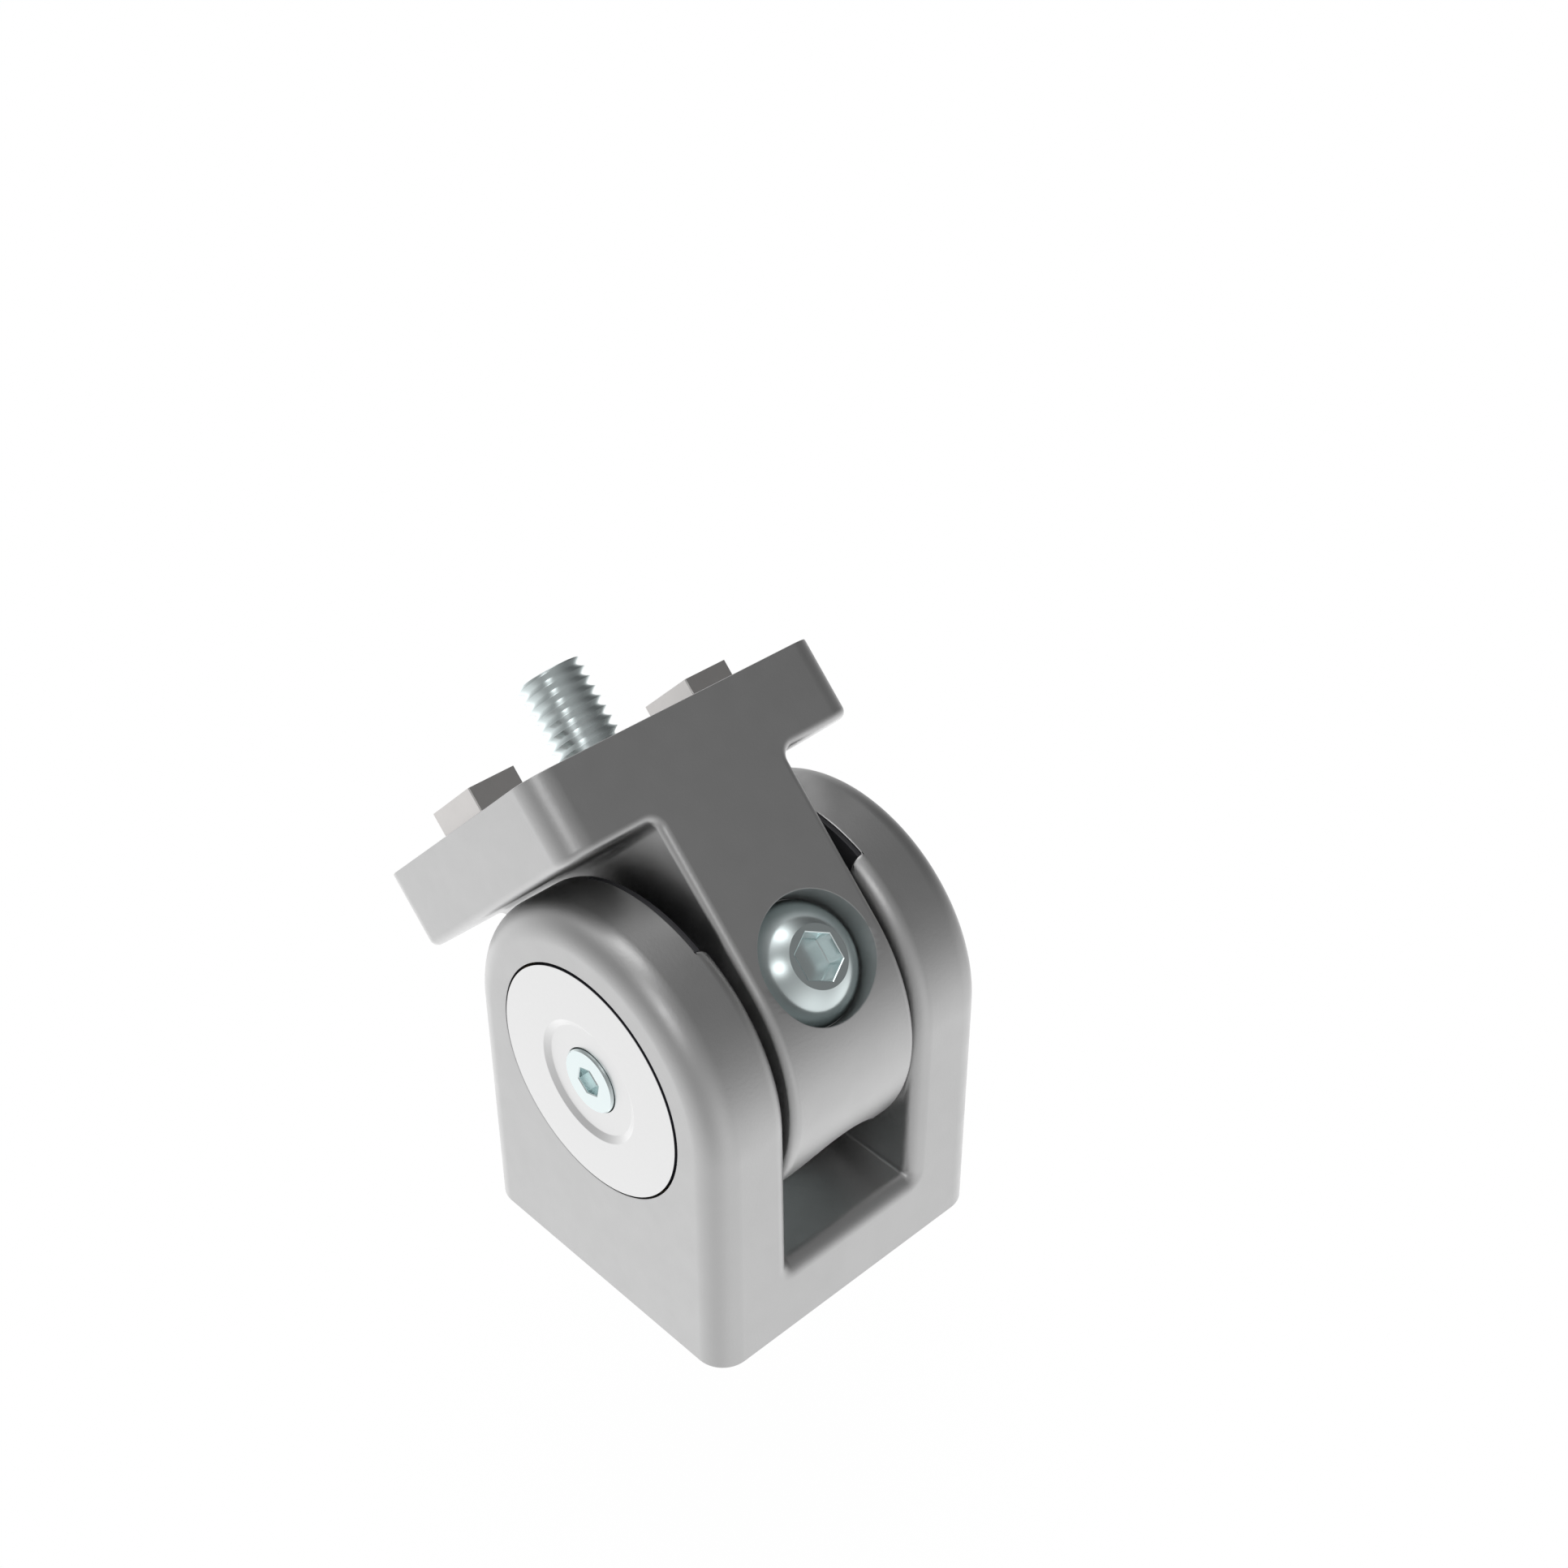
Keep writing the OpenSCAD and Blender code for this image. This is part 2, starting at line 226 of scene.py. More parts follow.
class Shell:
    """Collects patches of a surface and joins them into one closed mesh."""

    def __init__(self):
        self.points = []
        self.faces = []

    def polygon(self, points):
        first = len(self.points)
        self.points.extend(tuple(p) for p in points)
        self.faces.append(list(range(first, first + len(points))))

    def grid(self, rows):
        first, width = len(self.points), len(rows[0])
        for row in rows:
            self.points.extend(tuple(p) for p in row)
        for i in range(len(rows) - 1):
            for j in range(width - 1):
                a = first + i * width + j
                self.faces.append([a, a + 1, a + width + 1, a + width])

    def mirrored(self, axis):
        """Adds the mirror image of all that was collected so far, across the middle of an axis."""
        count = len(self.points)
        for p in self.points[:count]:
            q = list(p)
            q[axis] = -q[axis]
            self.points.append(tuple(q))
        for face in list(self.faces):
            self.faces.append([i + count for i in reversed(face)])

    def mesh(self, name):
        work = bmesh.new()
        verts = [work.verts.new(p) for p in self.points]
        for face in self.faces:
            if len({self.points[i] for i in face}) > 2:
                work.faces.new([verts[i] for i in face])
        bmesh.ops.remove_doubles(work, verts=work.verts, dist=1e-5)
        bmesh.ops.dissolve_degenerate(work, edges=work.edges, dist=1e-6)
        bmesh.ops.recalc_face_normals(work, faces=work.faces)
        data = bpy.data.meshes.new(name)
        work.to_mesh(data)
        work.free()
        return data


def lathe(profile, count=ROUND):
    """Shell of a profile of (radius, height) points turned about the Z axis."""
    shell = Shell()
    angles = full_turn(count)
    shell.grid([circle(r, z, angles) for r, z in profile])
    return shell


def soft(points, r, count=SOFT_STEPS):
    """Profile with its inner points rounded to a small radius, where there is room for it."""
    out = [points[0]]
    for before, at, after in zip(points, points[1:], points[2:]):
        b, p, n = Vector(before), Vector(at), Vector(after)
        u, v = (b - p), (n - p)
        reach = min(r, 0.45 * u.length, 0.45 * v.length)
        start, end = p + u.normalized() * reach, p + v.normalized() * reach
        for t in spread(0, 1, count):
            q = start.lerp(p, t).lerp(p.lerp(end, t), t)
            out.append((max(q.x, 0.0), q.y))
    return out + [points[-1]]


def rod(r, low, high, count=ROUND):
    """Shell of a plain round rod."""
    return lathe([(0, low), (r, low), (r, high), (0, high)], count)


def stepped_rod(steps):
    """Shell of round lengths one above another, as (radius, lower height, upper height)."""
    profile = [(0, steps[0][1])]
    for r, low, high in steps:
        profile += [(r, low), (r, high)]
    return lathe(profile + [(0, steps[-1][2])])


def block(low, high):
    """Shell of a box between two corners."""
    shell = Shell()
    (x0, y0, z0), (x1, y1, z1) = low, high
    for x in (x0, x1):
        shell.polygon([(x, y0, z0), (x, y1, z0), (x, y1, z1), (x, y0, z1)])
    for y in (y0, y1):
        shell.polygon([(x0, y, z0), (x1, y, z0), (x1, y, z1), (x0, y, z1)])
    for z in (z0, z1):
        shell.polygon([(x0, y0, z), (x1, y0, z), (x1, y1, z), (x0, y1, z)])
    return shell


# pieces

def piece(name, shell, place=Matrix.Identity(4)):
    """Object of a shell, in millimetres, put in its place."""
    made = bpy.data.objects.new(name, shell.mesh(name))
    bpy.context.scene.collection.objects.link(made)
    made.data.transform(place)
    return made


def cut(target, *shells, place=Matrix.Identity(4)):
    """Cuts the shells out of the target, one after another."""
    for shell in shells:
        tool = piece("cutter", shell, place)
        step = target.modifiers.new("cut", "BOOLEAN")
        step.operation = "DIFFERENCE"
        step.solver = "EXACT"
        step.object = tool
        apply_modifiers(target)
        bpy.data.objects.remove(tool)


def apply_modifiers(target):
    """Replaces the target's mesh by its mesh with all modifiers."""
    graph = bpy.context.evaluated_depsgraph_get()
    data = bpy.data.meshes.new_from_object(target.evaluated_get(graph))
    target.modifiers.clear()
    old, target.data = target.data, data
    bpy.data.meshes.remove(old)


def finish_piece(made, body, nodes, paint, edge=0.0, sharp=CAST_SHARP):
    """Softens the sharp edges, sets metres, shading, body and paint, and hides the CAD nodes."""
    if edge:
        bevel = made.modifiers.new("soft edges", "BEVEL")
        bevel.width = edge
        bevel.segments = 2
        bevel.limit_method = "ANGLE"
        bevel.angle_limit = math.radians(sharp)
        bevel.use_clamp_overlap = False
        apply_modifiers(made)
    made.data.transform(Matrix.Scale(MM, 4))
    made.data.shade_smooth()
    made.data.set_sharp_from_angle(angle=math.radians(sharp))
    normals = made.modifiers.new("normals", "WEIGHTED_NORMAL")
    normals.keep_sharp = True
    apply_modifiers(made)
    made.data.materials.clear()
    made.data.materials.append(paint)
    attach(made, body)
    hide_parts(*nodes)
    return made


# shader values

class Value:
    """Number in a node tree that takes part in Python expressions."""

    def __init__(self, tree, socket):
        self.tree = tree
        self.socket = socket

    def _math(self, operation, *values):
        node = self.tree.nodes.new("ShaderNodeMath")
        node.operation = operation
        for place, value in zip(node.inputs, values):
            feed(self.tree, place, value)
        return Value(self.tree, node.outputs[0])

    def __add__(self, other):
        return self._math("ADD", self, other)

    def __radd__(self, other):
        return self._math("ADD", other, self)

    def __sub__(self, other):
        return self._math("SUBTRACT", self, other)

    def __rsub__(self, other):
        return self._math("SUBTRACT", other, self)

    def __mul__(self, other):
        return self._math("MULTIPLY", self, other)

    def __rmul__(self, other):
        return self._math("MULTIPLY", other, self)

    def __pow__(self, other):
        return self._math("POWER", self, other)

    def __gt__(self, other):
        return self._math("GREATER_THAN", self, other)

    def __lt__(self, other):
        return self._math("LESS_THAN", self, other)

    def sine(self):
        return self._math("SINE", self)

    def exponential(self):
        return self._math("EXPONENT", self)


def feed(tree, place, value):
    """Links a value to an input, or sets it there."""
    if isinstance(value, Value):
        tree.links.new(value.socket, place)
    elif isinstance(value, bpy.types.NodeSocket):
        tree.links.new(value, place)
    else:
        place.default_value = value


class Tree:
    """Node tree of a material or of the world."""

    def __init__(self, owner):
        owner.use_nodes = True
        self.tree = owner.node_tree
        self.tree.nodes.clear()

    def node(self, kind, settings=None, **inputs):
        """New node of that kind, with its settings first and then its inputs by name."""
        made = self.tree.nodes.new("ShaderNode" + kind)
        for name, value in (settings or {}).items():
            setattr(made, name, value)
        for name, value in inputs.items():
            feed(self.tree, made.inputs[name.replace("_", " ")], value)
        return made

    def value(self, socket):
        return Value(self.tree, socket)

    def blend(self, factor, a, b):
        """Mix of two colours."""
        made = self.node("Mix", {"data_type": "RGBA"})
        feed(self.tree, made.inputs["Factor"], factor)
        for place, colour in ((made.inputs[6], a), (made.inputs[7], b)):
            feed(self.tree, place, (*colour, 1.0) if isinstance(colour, tuple) else colour)
        return made.outputs[2]


class Paint(Tree):
    """Material with one surface shader, whose patterns lie in the piece's own space in metres."""

    def __init__(self, name, slot):
        self.material = bpy.data.materials.new(name)
        self.material["slot"] = slot
        super().__init__(self.material)
        self.surface = self.node("BsdfPrincipled")
        output = self.node("OutputMaterial")
        self.tree.links.new(self.surface.outputs[0], output.inputs["Surface"])
        self.place = self.node("TexCoord").outputs["Object"]

    def set(self, **inputs):
        for name, value in inputs.items():
            feed(self.tree, self.surface.inputs[name.replace("_", " ")], value)

    def noise(self, scale, detail=2.0, roughness=0.5):
        made = self.node(
            "TexNoise", Vector=self.place, Scale=scale, Detail=detail, Roughness=roughness
        )
        return self.value(made.outputs["Fac"])

    def bump(self, height, distance):
        made = self.node("Bump", Height=height, Distance=distance, Strength=1.0)
        self.set(Normal=made.outputs[0])

    def axes(self):
        made = self.node("SeparateXYZ", Vector=self.place)
        return [self.value(s) for s in made.outputs]


def rings(distance, step):
    """Turning marks at a step in metres along a distance."""
    return (distance * (2 * math.pi / step)).sine()


def casting_paint():
    paint = Paint("die-cast metal", "casting")
    cloud = paint.noise(90.0, detail=3.0)
    grain = paint.noise(2600.0, roughness=0.6)
    flow = paint.noise(420.0)
    paint.set(
        Base_Color=paint.blend(cloud, (0.655, 0.655, 0.655), (0.68, 0.68, 0.68)),
        Metallic=1.0,
        Roughness=0.34 + 0.08 * flow + 0.04 * grain,
    )
    paint.bump(grain + 0.5 * flow, 0.000012)
    return paint.material


def hub_paint():
    """Turned faces on a disc, with painted shade on its rim: the rim down in the narrow gap round
    the disc is coloured near-black and not metallic.
    """
    paint = Paint("fine turned metal with painted rim shade", "bright_metal")
    x, y, z = paint.axes()
    radius = (y * y + (z - PIVOT_H * MM) ** 2.0) ** 0.5
    # painted shade: the hub's rim, in the narrow gap round the disc, gets a near-black,
    # non-metallic colour
    on_rim = radius > (HUB_R - GAP_SHADE_EDGE) * MM
    gap_shade = on_rim * ((x * x) ** 0.5 < (HUB_FACE - GAP_SHADE_EDGE) * MM)
    grain = paint.noise(1800.0)
    bright = paint.blend(grain, (0.88, 0.88, 0.88), (0.91, 0.91, 0.91))
    # near-black painted shade on the rim, bright turned metal elsewhere
    paint.set(
        Base_Color=paint.blend(gap_shade, bright, (0.035, 0.036, 0.046)),
        Metallic=1.0 - gap_shade,
        Roughness=0.28 + 0.05 * grain + 0.05 * gap_shade,
    )
    paint.bump(rings(radius, 0.00022) + 0.6 * grain, 0.0000004)
    return paint.material


def zinc_paint():
    paint = Paint("zinc plating", "zinc_steel")
    cloud = paint.noise(260.0, detail=3.0)
    grain = paint.noise(3200.0)
    paint.set(
        Base_Color=paint.blend(cloud, (0.87, 0.975, 0.98), (0.90, 0.985, 0.99)),
        Metallic=1.0,
        Roughness=0.20 + 0.04 * cloud,
    )
    paint.bump(grain, 0.0000006)
    return paint.material


def key_paint():
    paint = Paint("sintered key metal", "key_metal")
    pores = paint.noise(3000.0, detail=3.0, roughness=0.7)
    cloud = paint.noise(300.0)
    paint.set(
        Base_Color=paint.blend(cloud, (0.72, 0.70, 0.69), (0.77, 0.75, 0.735)),
        Metallic=1.0,
        Roughness=0.30 + 0.10 * pores,
    )
    paint.bump(pores, 0.00001)
    return paint.material


def plastic_paint():
    paint = Paint("black plastic", "black_plastic")
    grain = paint.noise(2200.0, detail=3.0, roughness=0.6)
    paint.set(
        Base_Color=paint.blend(grain, (0.052, 0.052, 0.058), (0.066, 0.066, 0.074)),
        Roughness=0.45 + 0.15 * grain,
    )
    paint.bump(grain, 0.00001)
    return paint.material


def ground_paint(name, slot, low, high):
    """Turned or ground metal of the pieces inside."""
    paint = Paint(name, slot)
    x, y, z = paint.axes()
    lines = paint.noise(900.0)
    paint.set(
        Base_Color=paint.blend(lines, low, high), Metallic=1.0, Roughness=0.25 + 0.12 * lines
    )
    paint.bump(rings(x, 0.0003) + lines, 0.000003)
    return paint.material


# the castings

def arch(r, low, count=ROUND):
    """Path up the front, over the pivot and down the back, as (y, z) places at a radius."""
    over = [
        (-r * math.cos(a), PIVOT_H + r * math.sin(a)) for a in spread(0, math.pi, count)
    ]
    return [(-r, low)] + over + [(r, low)]


def wall_x(z):
    """Half the pocket's width at a height: the cheeks' inner faces have a slight draft."""
    return POCKET_X - FLOOR_PINCH + DRAFT * (z - FLOOR_H)


def pocket_corner(out):
    """Rounded corner between the pocket's floor and wall, as (x, z) from the floor to the wall.

    It lies that far outwards in the rounded mouth.
    """
    r = POCKET_CORNER_R
    steps = [
        ((r + out) * math.sin(a), FLOOR_H + r - (r + out) * math.cos(a))
        for a in spread(0, math.pi / 2, POCKET_STEPS)
    ]
    return [(wall_x(z) - r + x, z) for x, z in steps]


def fork_shell():
    """Right half of the fork without its holes, and its mirror image."""
    shell = Shell()
    outer = arc(HALF_W - CORNER_R, HALF_W - CORNER_R, CORNER_R, 0, 90, CORNER_STEPS)
    shell.grid([[(x, y, z) for y, z in arch(r, 0)] for x, r in outer])
    # the pocket's rounded mouth, by its distance outwards from the wall and from the pivot
    mouth = [
        (MOUTH_R - MOUTH_R * math.cos(a), HALF_W - MOUTH_R + MOUTH_R * math.sin(a))
        for a in spread(0, math.pi / 2, CORNER_STEPS)
    ]
    wall_low = FLOOR_H + POCKET_CORNER_R
    rows = []
    for out, r in mouth:
        low = pocket_corner(out)[:-1]
        up = [(wall_x(z) + out, y, z) for y, z in arch(r, wall_low)]
        front = [(x, -r, z) for x, z in low]
        back = [(x, r, z) for x, z in reversed(low)]
        rows.append(front + up + back)
    shell.grid(rows)
    flat_y = HALF_W - MOUTH_R
    shell.grid([[(x, y, z) for x, z in pocket_corner(0)] for y in (-flat_y, flat_y)])
    # the cheek's round top, its outer face and its inner face
    outer_x = HALF_W - CORNER_R
    top = arch(HALF_W, 0)[1:-1]
    shell.grid([[(wall_x(z) + MOUTH_R, y, z) for y, z in top], [(outer_x, y, z) for y, z in top]])
    shell.polygon([(HALF_W, y, z) for y, z in arch(HALF_W - CORNER_R, 0)])
    shell.polygon([(wall_x(z), y, z) for y, z in arch(flat_y, wall_low)])
    shell.mirrored(0)
    for s in (-1, 1):
        # the front or back face, and the rounded edge of the pocket's floor
        side = [(outer_x, 0), (outer_x, PIVOT_H), (wall_x(PIVOT_H) + MOUTH_R, PIVOT_H)]
        side += reversed(pocket_corner(MOUTH_R))
        face = side + [(-x, z) for x, z in reversed(side)]
        shell.polygon([(x, s * HALF_W, z) for x, z in face])
        edge = []
        for out, r in mouth:
            x, z = pocket_corner(out)[0]
            edge.append([(-x, s * r, z), (x, s * r, z)])
        shell.grid(edge)
    # the pocket's floor and the base
    half = wall_x(FLOOR_H) - POCKET_CORNER_R
    floor = [(-half, -flat_y), (half, -flat_y), (half, flat_y), (-half, flat_y)]
    shell.polygon([(x, y, FLOOR_H) for x, y in floor])
    shell.polygon([(x, y, 0) for x, y in square_outline(HALF_W, CORNER_R, CORNER_STEPS)])
    return shell


def key_pockets(level, up):
    """Cutters of the two key pockets in a face at that level."""
    low, high = sorted((level - up * (KEY_SINK + KEY_ROOM), level + up * PAST))
    x, y = KEY_L / 2 + FIT, KEY_W / 2 + FIT
    return [block((s * KEY_X - x, -y, low), (s * KEY_X + x, y, high)) for s in (-1, 1)]


def make_fork(paint):
    fork = piece("fork_casting", fork_shell())
    far = HALF_W + 2 * FAR
    cut(fork, rod(HUB_BORE_R, -far, far, BORE_ROUND), place=AT_PIVOT @ ALONG_X)
    x, y = CHANNEL_X, CHANNEL_W / 2
    cut(fork, block((-x, -y, PIVOT_H), (x, y, PIVOT_H + far)))
    cut(fork, stepped_rod([(CLEAR_R, -PAST, BASE_SEAT), (SINK_R, BASE_SEAT, FLOOR_H + FAR / 2)]))
    cut(fork, *key_pockets(0, -1))
    return finish_piece(fork, "fork", ["fork"], paint, edge=SOFT_EDGE)


def rounded_edge(places):
    """Rows of a rounded edge that runs along places of (point, one normal, other normal)."""
    rows = []
    for p, n1, n2 in places:
        p, n1, n2 = Vector(p), Vector(n1), Vector(n2)
        middle = p - (n1 + n2) * EDGE_R
        rows.append(
            [
                middle + (n1 * math.cos(a) + n2 * math.sin(a)) * EDGE_R
                for a in spread(0, math.pi / 2, EDGE_STEPS)
            ]
        )
    return rows


def tongue_shell():
    """Right half of the upright tongue without its holes, and its mirror image."""
    shell = Shell()
    corner = HALF_W - CORNER_R
    flat = HALF_W - EDGE_R
    rim_low = FLANGE_LOW + EDGE_R
    inner_x, inner_z = LEG_X + INNER_R, FLANGE_LOW - INNER_R
    bend = spread(0, math.pi / 2, EDGE_STEPS)
    front, down, side = (0, -1, 0), (0, 0, -1), (1, 0, 0)
    # rounded edge from the leg's front up to the flange and round half of its corner and side
    edge = [((LEG_X, -HALF_W, 0), front, side), ((LEG_X, -HALF_W, inner_z), front, side)]
    for a in bend[1:]:
        c, s = math.cos(a), math.sin(a)
        edge.append(((inner_x - INNER_R * c, -HALF_W, inner_z + INNER_R * s), front, (c, 0, -s)))
    for a in spread(0, math.pi / 2, CORNER_STEPS):
        out = Vector((math.sin(a), -math.cos(a), 0))
        edge.append((Vector((corner, -corner, FLANGE_LOW)) + out * CORNER_R, out, down))
    edge.append(((HALF_W, 0, FLANGE_LOW), side, down))
    shell.grid(rounded_edge(edge))
    # quarter of the leg's side, of the inner corner and of the flange's underside
    shell.polygon([(LEG_X, y, z) for y, z in [(-flat, 0), (0, 0), (0, inner_z), (-flat, inner_z)]])
    hollow = [(inner_x - INNER_R * math.cos(a), inner_z + INNER_R * math.sin(a)) for a in bend]
    shell.grid([[(x, y, z) for y in (-flat, 0)] for x, z in hollow])
    under = [(inner_x, 0), (inner_x, -flat)]
    under += arc(corner, -corner, CORNER_R - EDGE_R, -90, 0, CORNER_STEPS) + [(flat, 0)]
    shell.polygon([(x, y, FLANGE_LOW) for x, y in under])
    # the flange's corner and side above the rounded edge
    rim = arc(corner, -corner, CORNER_R, -90, 0, CORNER_STEPS)
    shell.grid([[(x, y, z) for x, y in rim] for z in (rim_low, FLANGE_TOP)])
    rim_side = [(-corner, rim_low), (0, rim_low), (0, FLANGE_TOP), (-corner, FLANGE_TOP)]
    shell.polygon([(HALF_W, y, z) for y, z in rim_side])
    shell.mirrored(1)
    # the leg's round end
    turn = spread(0, math.pi, ROUND)
    section = arc(LEG_X - EDGE_R, flat, EDGE_R, 0, 90)
    shell.grid([[(x, -r * math.cos(a), -r * math.sin(a)) for a in turn] for x, r in section])
    end = [(-flat * math.cos(a), -flat * math.sin(a)) for a in turn] + [(0, 0)]
    shell.polygon([(LEG_X, y, z) for y, z in end])
    shell.mirrored(0)
    leg = LEG_X - EDGE_R
    shell.grid(
        [[(x, -HALF_W * math.cos(a), -HALF_W * math.sin(a)) for a in turn] for x in (-leg, leg)]
    )
    # front and back face, and the top
    bend_r = INNER_R + EDGE_R
    half = [(leg, 0), (leg, inner_z)]
    half += [(inner_x - bend_r * math.cos(a), inner_z + bend_r * math.sin(a)) for a in bend[1:]]
    half += [(corner, rim_low), (corner, FLANGE_TOP)]
    for y in (-HALF_W, HALF_W):
        shell.polygon([(x, y, z) for x, z in half] + [(-x, y, z) for x, z in reversed(half)])
    top = square_outline(HALF_W, CORNER_R, CORNER_STEPS)
    middle = len(top) // 2
    top = [(HALF_W, 0)] + top[:middle] + [(-HALF_W, 0)] + top[middle:]
    shell.polygon([(x, y, FLANGE_TOP) for x, y in top])
    return shell


def make_tongue(paint):
    tongue = piece("tongue_casting", tongue_shell())
    far, side = HALF_W + FAR, LEG_X + FAR + PAST
    cut(tongue, stepped_rod(
        [(SINK_R, -far, PROFILE_SEAT), (CLEAR_R, PROFILE_SEAT, FLANGE_TOP + FAR)]
    ))
    cut(tongue, rod(AXLE_R + FIT, -side, side), place=ALONG_X)
    cut(tongue, stepped_rod([(CLEAR_R, PAST, LOCK_SEAT), (SINK_R, LOCK_SEAT, far)]), place=TO_FRONT)
    cut(tongue, *key_pockets(FLANGE_TOP, 1))
    tongue.data.transform(ON_TONGUE)
    return finish_piece(tongue, "tongue", ["tongue"], paint, edge=SOFT_EDGE)


# the screws

def hexagon(across_flats, z, angles):
    """Points of a hexagon with corners on the Y axis, at the given angles."""
    sixth = math.pi / 3
    points = []
    for a in angles:
        turned = (a + sixth / 2) % sixth - sixth / 2
        points += circle(across_flats / 2 / math.cos(turned), z, [a])
    return points


def socket_rows(width, top, depth, angles):
    """Rows of a hexagon socket from its edge at the top down to the middle of its floor.

    Its edge and the corner at its floor are softened.
    """
    deep = top - depth
    edge_h, floor_c, point_h = 0.08, 0.1, 0.02
    steps = [
        (width + 0.25, top), (width + 0.04, top - edge_h), (width, top - 2 * edge_h),
        (width, deep + floor_c), (width - 2 * floor_c, deep),
    ]
    return [hexagon(w, z, angles) for w, z in steps] + [circle(0, deep - point_h, angles)]


class Thread:
    """True thread between two heights, with sharp crests and rounded valleys.

    It starts at the given part of a turn, and runs out to the neck's radius at its top.
    """

    # rows from a crest to the valley, as parts of the pitch
    HALF = [0.025, 0.07, 0.13, 0.2, 0.28, 0.36, 0.43]

    def __init__(self, r, neck_r, pitch, low, high, turned=0.0):
        self.r = r
        self.root = r - THREAD_DEPTH * pitch
        self.neck_r = neck_r
        self.pitch = pitch
        self.low = low
        self.high = high
        self.turned = turned

    def point(self, a, z):
        """Place on the thread's surface at an angle and a height."""
        up = abs((z / self.pitch - a / (2 * math.pi) + self.turned) % 1 - 0.5) * 2
        r = self.root + (self.r - self.root) * min(up / (1 - CREST), 1) ** VALLEY
        lead = self.r - TIP_C + (z - self.low)
        run_out = self.neck_r + max(self.high - z, 0) * RUN_OUT
        r = min(r, lead, max(run_out, self.root))
        return (r * math.cos(a), r * math.sin(a), z)

    def end(self, z, angles):
        """The thread's outline where it is cut off at a height."""
        return [self.point(a, z) for a in angles]

    def rows(self, angles):
        """Rows that follow the helix, kept between the two heights."""
        steps = [0, *self.HALF, 0.5, *(1 - s for s in reversed(self.HALF))]
        first = math.floor(self.low / self.pitch) - 1
        turns = int((self.high - self.low) / self.pitch) + 4
        rows = []
        for turn in range(first, first + turns):
            for step in steps:
                heights = [
                    self.pitch * (turn + step + a / (2 * math.pi) - self.turned) for a in angles
                ]
                rows.append(
                    [
                        self.point(a, min(max(z, self.low), self.high))
                        for a, z in zip(angles, heights)
                    ]
                )
        return rows


def screw_shell(head, socket_w, socket_d, neck_low, thread, count=ROUND):
    """Screw along Z: a head's profile from its neck outwards and up to its socket, and a thread."""
    shell = Shell()
    angles = full_turn(count)
    shell.grid(
        [circle(r, z, angles) for r, z in head]
        + socket_rows(socket_w, head[-1][1], socket_d, angles)
    )
    neck = [head[0], (thread.neck_r, neck_low), (thread.neck_r, thread.high)]
    shell.grid([circle(r, z, angles) for r, z in neck])
    shell.grid(thread.rows(angles))
    shell.grid([thread.end(thread.low, angles), circle(0, thread.low, angles)])
    shell.grid([circle(thread.neck_r, thread.high, angles), thread.end(thread.high, angles)])
    return shell


def calm_thread(made, place, low, high):
    """Turns the thread's shading towards the radius, as a thick plating rounds the flanks off."""
    axis = (place.to_3x3() @ Vector((0, 0, 1))).normalized()
    seat = place.translation * MM
    inside = 0.01
    normals = [corner.vector.copy() for corner in made.data.corner_normals]
    for loop in made.data.loops:
        from_seat = made.data.vertices[loop.vertex_index].co - seat
        level = from_seat.dot(axis)
        if (low + inside) * MM < level < (high - inside) * MM:
            outward = (from_seat - axis * level).normalized()
            normals[loop.index] = normals[loop.index].lerp(outward, THREAD_CALM).normalized()
    made.data.normals_split_custom_set(normals)


def large_screw(name, low, high, place, body, nodes, paint, turned=0.0):
    """Button-head screw with its seat at the origin and its thread between two heights."""
    # the dome is part of a ball about a point on the axis
    rise = HEAD_FLAT_R**2 + HEAD_H**2 - HEAD_R**2 - HEAD_RIM**2
    rise /= 2 * (HEAD_H - HEAD_RIM)
    ball = math.hypot(HEAD_R, HEAD_RIM - rise)
    start, end = math.asin((HEAD_RIM - rise) / ball), math.acos(HEAD_FLAT_R / ball)
    dome = [
        (ball * math.cos(a), rise + ball * math.sin(a)) for a in spread(start, end, HEAD_STEPS)
    ]
    head = [(SHANK_R + NECK, 0), (HEAD_R - HEAD_EDGE, 0), (HEAD_R, HEAD_EDGE)] + dome
    head += [(HEAD_FLAT_R - HEAD_CREASE, HEAD_H)]
    thread = Thread(SCREW_R - FIT, SHANK_R, PITCH, low, high, turned)
    made = piece(name, screw_shell(head, SOCKET_W, SOCKET_D, -NECK, thread), place)
    finish_piece(made, body, nodes, paint, sharp=TURNED_SHARP)
    calm_thread(made, place, low, high)
    return made


def hub_screw(name, place, nodes, paint):
    """Low-head screw in the middle of a hub, with its seat at the origin."""
    top = HUB_SCREW_TOP - HUB_SCREW_SEAT
    r, c, low_c = HUB_SCREW_HEAD_R, HUB_SCREW_EDGE, HUB_SCREW_LOW_EDGE
    head = [(HUB_SCREW_R + HUB_SCREW_NECK, 0), (r - low_c, 0), (r, low_c), (r, top - c),
            (r - c, top), (HUB_SCREW_FLAT_R, top)]
    thread = Thread(HUB_SCREW_R - FIT, HUB_SCREW_R, HUB_SCREW_PITCH, *HUB_SCREW_THREAD)
    shell = screw_shell(head, HUB_SOCKET_W, HUB_SOCKET_D, -HUB_SCREW_NECK, thread, SMALL_ROUND)
    return finish_piece(piece(name, shell, place), "tongue", nodes, paint, sharp=TURNED_SHARP)


# the pieces at the pivot

